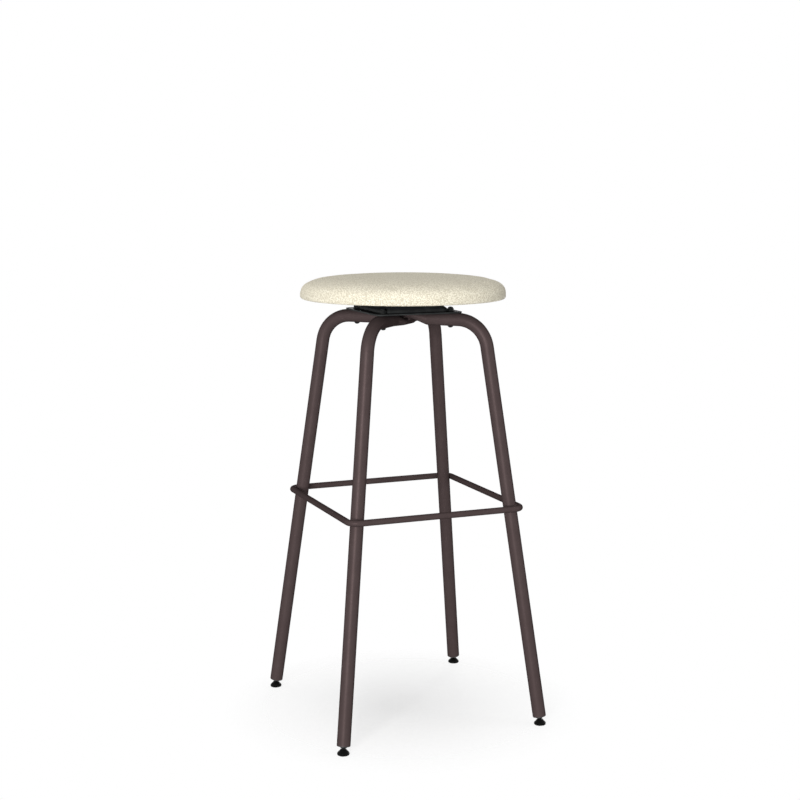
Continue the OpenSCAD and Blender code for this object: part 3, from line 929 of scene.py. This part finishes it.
@dataclass
class TubeFrame:
    """Two bent arches lapped at their middle, the rod ring round the legs, and their weld beads."""

    leg: LegLine = field(default_factory=LegLine)
    ring_height: float = 0.4253
    rod_radius: float = 0.006
    bead_columns: int = 18
    ripple_pitch: float = 0.0017
    ripple_depth: float = 0.00017
    taper_share: float = 0.75
    taper_power: int = 6

    # Beads on the ring: steps along, and shares of the rod's and of the bead's radius.
    bead_radius: float = 0.0023
    bead_sweep: float = math.radians(66)
    bead_steps: int = 90
    bead_rise: float = 0.82
    bead_stand: float = 0.48
    wobble: float = 0.0001
    wobble_rate: float = 37.0
    wobble_shift: float = 5.0

    # Beads at the crossing: shares of the lap's height, of half its width and of the bead's radius.
    arm_height: float = 0.78215
    lap_height: float = 0.0127
    lap_bead: float = 0.24
    lap_steps: int = 70
    lap_reach: float = 1.02
    lap_stand: float = 0.42
    lap_rise: float = 0.6

    def rippled(self, path: np.ndarray, radius: float) -> Shell:
        """A weld bead: a tube along a path, with stacked-coin ripples and ends that taper off.

        The radius is r (1 - a |2s - 1|^b) plus the ripple's depth times |sin(pi d / pitch)|, with
        a the taper's share, b its power, s the share of the length and d the distance along it.

        Args:
            path: Array (n, 3) of centres.
            radius: Radius of the bead.

        Returns:
            The bead as a closed shell.
        """
        steps = np.linalg.norm(np.diff(path, axis=0), axis=1)
        distance = np.concatenate([[0.0], np.cumsum(steps)])
        share = distance / distance[-1]
        taper = 1 - self.taper_share * np.abs(2 * share - 1) ** self.taper_power
        ripple = self.ripple_depth * np.abs(np.sin(np.pi * distance / self.ripple_pitch))
        return tube_along(path, radius * taper + ripple, self.bead_columns)

    def footrest_beads(self) -> Shell:
        """Beads over and under the rod where it wraps each leg.

        Each one runs along an arc about the leg's axis, (a cos t, a sin t), whose height wanders
        by a small sine.

        Returns:
            All the beads as one shell.
        """
        beads = []
        arc = self.leg.tube_radius + self.bead_radius * self.bead_stand
        t = np.linspace(-self.bead_sweep / 2, self.bead_sweep / 2, self.bead_steps)
        for corner in Corner:
            for side in (-1, 1):
                height = self.ring_height + side * self.rod_radius * self.bead_rise
                shift = self.wobble_shift * corner.turn + side
                wave = np.sin(self.wobble_rate * t + shift)
                path = about_z(arc, t, height + self.wobble * wave)
                path[:, 0] += self.leg.axis_radius(height)
                beads.append(self.rippled(turned(path, corner.turn), self.bead_radius))
        return joined(beads)

    def crossing_beads(self) -> Shell:
        """Four straight beads round the square where the pressed tubes lie on each other.

        A tube pressed to the height h with its girth kept is flat over a width of pi h / 2, so
        each bead stands a little outside half of that, beside the upper or the lower arch.

        Returns:
            All the beads as one shell.
        """
        beads = []
        flat = math.pi * self.lap_height / 4
        bead = self.lap_height * self.lap_bead
        across = np.linspace(-flat * self.lap_reach, flat * self.lap_reach, self.lap_steps)
        for corner, rise in ((Corner.REAR_LEFT, 1), (Corner.FRONT_LEFT, -1)):
            for side in (-1, 1):
                beside = side * (flat + self.lap_height * self.lap_stand)
                height = self.arm_height + rise * bead * self.lap_rise
                path = np.stack(np.broadcast_arrays(across, beside, height), axis=-1)
                beads.append(self.rippled(turned(path, corner.turn), bead))
        return joined(beads)

    def build(self) -> None:
        """Dresses the tubes and the ring, and builds the beads."""
        coat = TUBE_COAT.material()
        dress_nodes(["lower_arch", "upper_arch", "footrest_ring"], coat)
        for name, shell, node in (
            ("footrest_bead_welds", self.footrest_beads(), "footrest_welds"),
            ("crossing_bead_welds", self.crossing_beads(), "crossing_welds"),
        ):
            piece = make_piece(name, shell)
            dress(piece, coat)
            settle(piece, "base", [node])


@dataclass
class Glides:
    """Glides: a plug in each tube end, and a threaded stud with a hexagonal collar and a foot."""

    leg: LegLine = field(default_factory=LegLine)
    joint_height: float = 0.0082
    ball_radius: float = 0.0045
    neck_radius: float = 0.0026
    stem_columns: int = 32
    ball_rows: int = 22
    overlap: float = 0.0004

    # The collar's rows: reach as a share of half its width, and level as a share of its height.
    collar_flats: float = 0.012
    collar_start: float = 0.005
    collar_end: float = 0.008204
    collar_columns: int = 72
    collar_rows: tuple[Band, ...] = (
        (0.4, 0.0), (1.03, 0.0), (1.2, 0.12), (1.2, 0.88), (1.03, 1.0), (0.4, 1.0))

    # The thread: rows in each pitch, its flattened flanks, and the narrow lead at its end.
    shank_radius: float = 0.00395
    shank_end: float = 0.038404
    thread_pitch: float = 0.00125
    thread_depth: float = 0.00062
    thread_columns: int = 24
    thread_rows: int = 8
    flank_gain: float = 1.3
    flank_cut: float = 0.1
    lead_length: float = 0.0012
    lead_share: float = 0.28
    sharp_angle: float = math.radians(38)

    def collar(self) -> Shell:
        """Hexagonal collar with chamfered corners.

        The radius round each row is half the width across flats over cos(t), with t from the
        middle of the nearest flat, but no more than the row's reach.

        Returns:
            The collar as a closed shell.
        """
        half = self.collar_flats / 2
        reach, level = np.array(self.collar_rows).T
        sector = (angles(self.collar_columns) + np.pi / 6) % (np.pi / 3) - np.pi / 6
        radius = np.minimum(half / np.cos(sector)[None, :], half * reach[:, None])
        return polar(radius, self.collar_start + level * (self.collar_end - self.collar_start))

    def thread(self) -> Shell:
        """Threaded shank, with a narrow lead at its end.

        The radius falls by the depth times a triangle wave of z / pitch - t / 2 pi.

        Returns:
            The shank as a closed shell.
        """
        start = self.collar_end - self.overlap
        height = np.arange(start, self.shank_end, self.thread_pitch / self.thread_rows)
        share = np.arange(self.thread_columns) / self.thread_columns
        phase = (height[:, None] / self.thread_pitch - share) % 1.0
        triangle = np.clip(np.abs(2 * phase - 1) * self.flank_gain - self.flank_cut, 0.0, 1.0)
        lead = np.clip((self.shank_end - height) / self.lead_length, 0.0, 1.0)[:, None]
        narrow = 1 - self.lead_share * (1 - lead)
        return polar((self.shank_radius - self.thread_depth * triangle) * narrow, height)

    def stem(self) -> Shell:
        """Ball and neck: a circle of the ball's radius up to the neck, then a straight neck.

        Returns:
            The stem as a closed shell.
        """
        meet = math.asin(self.neck_radius / self.ball_radius)
        t = np.linspace(-np.pi / 2, np.pi / 2 - meet, self.ball_rows)
        ball = self.ball_radius * np.stack([np.cos(t), np.sin(t)], axis=-1)
        top = self.collar_start + self.overlap
        return lathe(np.vstack([ball, [self.neck_radius, top], [0.0, top]]), self.stem_columns)

    def build(self) -> None:
        """Builds a stud for each leg, and dresses the feet and the plugs."""
        steel = STUD_STEEL.material()
        shell = joined([self.stem(), self.collar(), self.thread()])
        for corner in Corner:
            placed = shell.moved(self.leg.place(shell.points, corner.turn, self.joint_height))
            piece = make_piece(f"levelling_stud_{corner.label}", placed)
            piece.data.set_sharp_from_angle(angle=self.sharp_angle)
            dress(piece, steel)
            settle(
                piece, f"stud_{corner.label}", [f"glide_stud_{corner.label}"])
        labels = [corner.label for corner in Corner]
        dress_nodes([f"glide_foot_{label}" for label in labels], GLIDE_PLASTIC.material())
        dress_nodes([f"leg_insert_{label}" for label in labels], INSERT_NYLON.material())


@dataclass
class Swivel:
    """Pressed plates, ring of balls in its cage, pivot, and the fasteners of plates and seat."""

    plates: tuple[str, ...] = ("lower_swivel_plate", "upper_swivel_plate")
    black_fasteners: tuple[str, ...] = (
        "plate_bolts", "plate_nuts", "seat_screws", "pivot_bolt", "pivot_washer", "pivot_nut")
    zinc_fasteners: tuple[str, ...] = ("tee_nuts", "staples")

    def build(self) -> None:
        """Dresses the swivel's nodes."""
        dress_nodes(self.plates, PLATE_PAINT.material())
        dress_nodes(self.black_fasteners, BOLT_STEEL.material())
        dress_nodes(self.zinc_fasteners, BRIGHT_ZINC.material())
        dress_nodes(["pivot_bushing"], BUSHING_NYLON.material())
        dress_nodes(["ball_cage"], CAGE_STEEL.material())
        dress_nodes(["bearing_balls"], BALL_STEEL.material())


@dataclass(frozen=True)
class Sine:
    """A slow change round the seat: size times sin(waves t + start)."""

    size: float
    waves: float
    start: float

    def at(self, turn: np.ndarray) -> np.ndarray:
        """Its value at each angle."""
        return self.size * np.sin(self.waves * turn + self.start)


@dataclass
class Cushion:
    """The crowned cushion: fabric over foam, drawn round the seat board and folded under it."""

    radius: float = 0.1985
    bottom: float = 0.8203
    top: float = 0.8636
    edge_rise: float = 0.0037
    under_round: float = 0.0045
    crown_power: float = 3.6
    fold_radius: float = 0.166

    # The recess for the board, and the room above it inside the foam.
    board_radius: float = 0.1865
    board_bottom: float = 0.8213
    board_top: float = 0.8333
    board_gap: float = 0.00005
    foam_gap: float = 0.0014

    # The mesh: points round, then rows over the crown, under the edge and along the fold.
    columns: int = 144
    crown_rows: int = 44
    under_rows: int = 6
    fold_rows: int = 6
    curve_steps: int = 40

    # The cloth's run: how far the start is drawn in, and the most that a point may move.
    inset: float = 0.0016
    quick_inset: float = 0.0002
    cap: float = 0.0019
    frames: int = 20
    pressure: float = 4.0
    tension: float = 25.0
    compression: float = 15.0
    bending: float = 0.6
    quality: int = 6
    held_rows: int = 9
    hold_fade: tuple[float, ...] = (0.75, 0.5, 0.25)

    # Unevenness of the foam, and the small folds round the lower edge.
    uneven: float = 0.0003
    uneven_cell: float = 0.045
    uneven_seed: int = 4
    gather_count: int = 58
    gather_phase: tuple[Sine, ...] = (Sine(1.7, 3, 0.4), Sine(1.1, 7, 2.0))
    gather_swing: Sine = Sine(0.4, 11, 1.3)
    gather_start: float = 0.168
    gather_fade: float = 0.02
    gather_level: float = 0.1
    gather_reach: float = 0.55
    gather_drop: float = 0.00018
    gather_pinch: float = 0.00022

    def outer_profile(self, inset: float) -> np.ndarray:
        """Half section from the crown's pole to the fold's inner edge.

        Above the widest circle it is the curve r = R cos(t)^(2/p), z = H sin(t)^(2/p), with its
        rows at even lengths, and below it a quarter of an ellipse, then the flat fold.

        Args:
            inset: How far the curve is drawn in, so that the cloth can swell.

        Returns:
            Array (n, 2) of radius and height.
        """
        widest = self.bottom + self.edge_rise
        t = np.linspace(np.pi / 2, 0, self.curve_steps)
        power = 2 / self.crown_power
        radius = (self.radius - inset) * np.cos(t) ** power
        radius[0] = 0.0
        crown = widest + (self.top - widest - inset) * np.sin(t) ** power
        length = np.concatenate([[0.0], np.cumsum(np.hypot(np.diff(radius), np.diff(crown)))])
        even = np.linspace(0, 1, self.crown_rows) * length[-1]
        upper = np.stack(
            [np.interp(even, length, radius), np.interp(even, length, crown)], axis=-1)
        s = np.linspace(0, np.pi / 2, self.under_rows + 1)[1:]
        under = self.radius - self.under_round
        lower = np.stack([
            under + (self.radius - inset - under) * np.cos(s),
            widest - self.edge_rise * np.sin(s)], axis=-1)
        along = np.linspace(under, self.fold_radius, self.fold_rows + 1)[1:]
        fold = np.stack([along, np.full(self.fold_rows, self.bottom)], axis=-1)
        return np.vstack([upper, lower, fold])

    def inner_profile(self) -> np.ndarray:
        """Half section of the recess: up round the board, then straight in to the axis above it.

        Returns:
            Array (5, 2) of radius and height.
        """
        side = self.board_radius + self.board_gap
        low = self.board_bottom - self.board_gap
        high = self.board_top + self.foam_gap
        return np.array([
            [self.fold_radius, low], [side, low], [side, high],
            [self.board_radius / 2, high], [0.0, high]])

    def gathers(self, points: np.ndarray) -> np.ndarray:
        """Small folds where the fabric is drawn round the lower edge.

        Each point moves in along its radius, and up or down, by a weight that peaks just over the
        fold and fades inwards, times sin(n t + phase). The phase and the strength wander with t.

        Args:
            points: Array (n, 3) of the cushion's points.

        Returns:
            The moved points.
        """
        t = np.arctan2(points[:, 1], points[:, 0])
        radius = np.hypot(points[:, 0], points[:, 1])
        level = (points[:, 2] - self.bottom) / self.edge_rise
        inwards = np.clip((radius - self.gather_start) / self.gather_fade, 0, 1)
        weight = np.exp(-((level - self.gather_level) / self.gather_reach) ** 2) * inwards
        phase = sum(sine.at(t) for sine in self.gather_phase)
        strength = 1 - self.gather_swing.size + self.gather_swing.at(t)
        wave = strength * np.sin(self.gather_count * t + phase)
        pinch = self.gather_pinch * weight * (1 - wave) / 2
        moved = points.copy()
        moved[:, 2] += self.gather_drop * weight * wave
        moved[:, :2] *= (1 - pinch / np.maximum(radius, self.gather_start / 2))[:, None]
        return moved

    def swell(self, piece: bpy.types.Object, free: np.ndarray) -> None:
        """Blows the cushion up as cloth, caps each point's move, and keeps the result.

        Args:
            piece: The cushion, a closed mesh a little too small.
            free: Array (n,) of 0 where the cloth is held by the board and 1 where it is free.
        """
        mesh = piece.data
        start = read_points(mesh)
        held = piece.vertex_groups.new(name="held")
        held.add(np.flatnonzero(free < 0.5).tolist(), 1.0, "REPLACE")
        cloth = piece.modifiers.new("cloth", "CLOTH")
        cloth.settings.use_pressure = True
        cloth.settings.uniform_pressure_force = self.pressure
        cloth.settings.vertex_group_mass = held.name
        cloth.settings.tension_stiffness = self.tension
        cloth.settings.compression_stiffness = self.compression
        cloth.settings.bending_stiffness = self.bending
        cloth.settings.quality = self.quality
        cloth.settings.effector_weights.gravity = 0.0
        cloth.collision_settings.use_collision = False
        cloth.point_cache.frame_start = 1
        cloth.point_cache.frame_end = self.frames
        scene = bpy.context.scene
        for number in range(1, self.frames + 1):
            scene.frame_set(number)
        swollen = piece.evaluated_get(bpy.context.evaluated_depsgraph_get())
        move = read_points(swollen.data) - start
        size = np.linalg.norm(move, axis=1, keepdims=True)
        move *= np.minimum(1.0, self.cap / np.maximum(size, TINY)) * free[:, None]
        most = float(np.linalg.norm(move, axis=1).max())
        LOG.info("cushion swelled by up to %.2f mm", 1000 * most)
        piece.modifiers.remove(cloth)
        piece.vertex_groups.remove(held)
        scene.frame_set(1)
        mesh.vertices.foreach_set("co", (start + move).ravel())
        mesh.update()

    def trued(self, points: np.ndarray, target: np.ndarray) -> np.ndarray:
        """Each ring at its designed mean radius and height, still as uneven as it swelled.

        A ring's points go from radius r to r - mean(r) + R, and from height z to z - mean(z) + Z.

        Args:
            points: Array (n, 3): the rings one after another, then the two poles.
            target: Array (rows + 2, 2) of designed radii and heights, with the poles at its ends.

        Returns:
            The moved points.
        """
        rings = points[:-2].reshape(-1, self.columns, 3)
        radius = np.hypot(rings[..., 0], rings[..., 1])
        scale = (radius - radius.mean(axis=1, keepdims=True) + target[1:-1, :1]) / radius
        moved = rings * scale[..., None]
        shift = target[1:-1, 1] - rings[..., 2].mean(axis=1)
        moved[..., 2] = rings[..., 2] + shift[:, None]
        poles = [[0.0, 0.0, target[0, 1]], [0.0, 0.0, target[-1, 1]]]
        return np.vstack([moved.reshape(-1, 3), poles])

    def freedom(self, outer_rows: int, count: int) -> np.ndarray:
        """How free each point is to swell: 1 on the crown, fading to 0 at the fold and inside.

        Args:
            outer_rows: Number of rows of the outer profile, with its pole.
            count: Number of points of the whole cushion.

        Returns:
            Array (count,) from 0 to 1.
        """
        last = outer_rows - self.held_rows
        fade = np.ones(last)
        fade[-len(self.hold_fade):] = self.hold_fade
        free = np.zeros(count)
        free[:last * self.columns] = np.repeat(fade, self.columns)
        free[-2] = 1.0
        return free

    def build(self) -> bpy.types.Object:
        """Builds the cushion, with the crown, sides and fold outside and the recess inside.

        Returns:
            The dressed piece, on the seat's body.
        """
        outer = self.outer_profile(self.inset)
        shell = lathe(np.vstack([outer, self.inner_profile()]), self.columns)
        free = self.freedom(len(outer), len(shell.points))
        piece = make_piece("seat_cushion", shell)
        self.swell(piece, free)
        target = np.vstack([self.outer_profile(0.0), self.inner_profile()])
        points = self.trued(read_points(piece.data), target)
        noise = smooth_noise(points, self.uneven_cell, self.uneven_seed)
        points[:, 2] += self.uneven * noise * free
        piece.data.vertices.foreach_set("co", self.gathers(points).ravel())
        finer = piece.modifiers.new("finer", "SUBSURF")
        finer.levels = finer.render_levels = 1
        dress(piece, BOUCLE.material())
        settle(piece, "seat", ["seat_cover", "seat_foam"])
        return piece


@dataclass
class DustSheet:
    """The dust cloth under the seat: stapled to the board, with holes for the seat's screws."""

    cushion: Cushion
    radius: float = 0.1828
    hub_radius: float = 0.003
    thickness: float = 0.0003
    gap: float = 0.0003

    # The step down over the fabric's fold.
    step_inset: float = 0.004
    step_width: float = 0.0035

    # Puckers from staple to staple near the rim.
    staple_count: int = 24
    pucker_start: float = 0.155
    pucker_width: float = 0.02
    pucker_depth: float = 0.00022

    # The screws' places along X and Y, and the holes that clear them.
    screw_place: float = 0.06
    hole_radius: float = 0.0052

    # The mesh: points round, then rows inside and outside the step.
    columns: int = 192
    inner_rows: int = 44
    outer_rows: int = 12
    row_gap: float = 0.001

    def heights(self, rings: np.ndarray, turn: np.ndarray) -> np.ndarray:
        """Height of the cloth's middle at each radius and angle.

        It is the board's underside inside the fold and the fold's underside outside it, with a
        smooth step between, less small radial puckers of depth |sin(n t / 2)| near the rim.

        Args:
            rings: Array (rows,) of radii.
            turn: Array (columns,) of angles.

        Returns:
            Array (rows, columns).
        """
        seat = self.cushion
        start = seat.fold_radius - self.step_inset
        step = smooth_step(np.clip((rings - start) / self.step_width, 0, 1))
        middle = seat.board_bottom - self.gap - step * (seat.board_bottom - seat.bottom)
        near_rim = np.clip((rings - self.pucker_start) / self.pucker_width, 0, 1)
        pucker = self.pucker_depth * np.abs(np.sin(self.staple_count / 2 * turn))
        return middle[:, None] - near_rim[:, None] * pucker

    def build(self) -> bpy.types.Object:
        """Builds the cloth: rings of points (r cos t, r sin t, z) round a small hub.

        Returns:
            The dressed piece, on the seat's body.
        """
        start = self.cushion.fold_radius - self.step_inset
        rings = np.concatenate([
            np.linspace(self.hub_radius, start, self.inner_rows),
            np.linspace(start + self.row_gap, self.radius, self.outer_rows)])
        t = angles(self.columns)
        height = self.heights(rings, t)
        points = about_z(rings[:, None], t, height).reshape(-1, 3)
        quads = ring_quads(len(rings), self.columns)
        middle = np.abs(points[quads].mean(axis=1)[:, :2]) - self.screw_place
        cloth = quads[np.hypot(middle[:, 0], middle[:, 1]) >= self.hole_radius]
        hub = fan(np.arange(self.columns), len(points))[:, [1, 0, 2]]
        shell = Shell(np.vstack([points, [0.0, 0.0, height[0, 0]]]), cloth, hub)
        piece = make_piece("dust_cloth", shell)
        thick = piece.modifiers.new("thick", "SOLIDIFY")
        thick.thickness = self.thickness
        thick.offset = 0.0
        dress(piece, DUST_CLOTH.material())
        settle(piece, "seat", ["dust_cover"])
        return piece


@dataclass
class PaddedSeat:
    """Round seat: plywood board, crowned cushion, and the dust cloth under them."""

    cushion: Cushion = field(default_factory=Cushion)

    def build(self) -> None:
        """Builds the cushion and the dust cloth, and dresses the board."""
        cushion = self.cushion.build()
        sheet = DustSheet(self.cushion)
        cloth = sheet.build()
        dress_nodes(["seat_board"], PLYWOOD.material())


# Stage


@dataclass(frozen=True)
class Lamp:
    """A square area lamp: where it stands, the point that it faces, its width, and its watts."""

    name: str
    place: Place
    aim: Place
    width: float
    power: float

    def build(self) -> None:
        """Makes the lamp."""
        data = bpy.data.lights.new(self.name, "AREA")
        data.size = self.width
        data.energy = self.power
        lamp = bpy.data.objects.new(self.name, data)
        lamp.location = self.place
        towards = Vector(self.aim) - Vector(self.place)
        lamp.rotation_euler = towards.to_track_quat("-Z", "Y").to_euler()
        bpy.context.scene.collection.objects.link(lamp)


@dataclass
class Stage:
    """Pale floor, white surroundings, soft lamps and the camera at the photograph's place."""

    floor_radius: float = 9.0
    floor_columns: int = 96
    floor_shade: float = 0.55
    floor_glow: float = 0.28
    floor_show: float = 0.98
    fade: Band = (0.04, 0.36)
    sky: float = 0.34
    eye: Place = (-1.1094, -2.6810, 1.0549)
    look_turn: float = math.radians(-22.48)
    look_down: float = math.radians(8.521)

    # The lens and the sensor in millimetres, and the shift as a share of the picture's width.
    lens: float = 67.55
    sensor: float = 36.0
    shift: float = -0.003975
    far: float = 50.0
    lamps: tuple[Lamp, ...] = (
        Lamp("top_light", (0.0, 0.0, 3.2), (0.0, 0.0, 0.0), 1.4, 8.0),
        Lamp("front_light", (-4.75, -6.2, 1.35), (0.0, 0.0, 0.6), 3.0, 670.0),
        Lamp("right_fill", (5.2, -3.0, 1.8), (0.0, 0.0, 0.6), 3.0, 54.0),
        Lamp("back_fill", (3.5, 6.0, 2.2), (0.0, 0.0, 0.6), 3.0, 80.0),
    )

    def camera(self) -> None:
        """Makes the camera."""
        data = bpy.data.cameras.new("camera")
        data.lens = self.lens
        data.sensor_width = self.sensor
        data.shift_x = self.shift
        data.clip_end = self.far
        camera = bpy.data.objects.new("camera", data)
        camera.location = self.eye
        camera.rotation_euler = Euler((math.pi / 2 - self.look_down, 0.0, self.look_turn), "XYZ")
        bpy.context.scene.collection.objects.link(camera)
        bpy.context.scene.camera = camera

    def floor(self) -> None:
        """Makes the floor: a plain grey for light, and nearly white, with shadows, where it shows.

        What shows goes over to clear between the fade's two radii, where the white surroundings
        take its place, and it is clear from below.
        """
        piece = make_piece("floor", disc(self.floor_radius, self.floor_columns), smooth=False)
        graph = MaterialGraph("pale_floor")
        graph.nodes.remove(graph.shader)
        plain = graph.node("ShaderNodeBsdfDiffuse", Color=grey(self.floor_shade))
        pale = graph.node("ShaderNodeBsdfDiffuse", Color=grey(self.floor_show))
        glow = graph.node("ShaderNodeEmission", Strength=self.floor_glow)
        lit = graph.node("ShaderNodeAddShader")
        graph.feed(lit.inputs[0], pale.outputs[0])
        graph.feed(lit.inputs[1], glow.outputs[0])
        radius = graph.vector_math("LENGTH", graph.place).outputs["Value"]
        below = graph.node("ShaderNodeNewGeometry").outputs["Backfacing"]
        away = graph.math("MAXIMUM", graph.spread(radius, self.fade), below)
        near = graph.mixed(away, lit, graph.node("ShaderNodeBsdfTransparent"))
        graph.feed(graph.surface, graph.mixed(graph.shown(), plain, near).outputs[0])
        piece.data.materials.append(graph.material)

    def surroundings(self) -> None:
        """Makes the world: white where it shows and in reflections, and a plain grey for light."""
        world = bpy.data.worlds.new("studio")
        bpy.context.scene.world = world
        graph = Graph(world, "ShaderNodeOutputWorld")
        light = graph.node("ShaderNodeBackground", Color=grey(1.0), Strength=self.sky)
        white = graph.node("ShaderNodeBackground", Color=grey(1.0), Strength=1.0)
        graph.feed(graph.surface, graph.mixed(graph.shown(), light, white).outputs[0])

    def build(self) -> None:
        """Builds the whole stage."""
        bpy.context.scene.view_settings.view_transform = "Standard"
        self.camera()
        self.floor()
        self.surroundings()
        for lamp in self.lamps:
            lamp.build()


def main() -> None:
    """Builds the stage and every sub-assembly, in order."""
    logging.basicConfig(level=logging.INFO, format="%(name)s: %(message)s")
    for part in (Stage(), TubeFrame(), Glides(), Swivel(), PaddedSeat()):
        part.build()


if __name__ == "__main__":
    main()
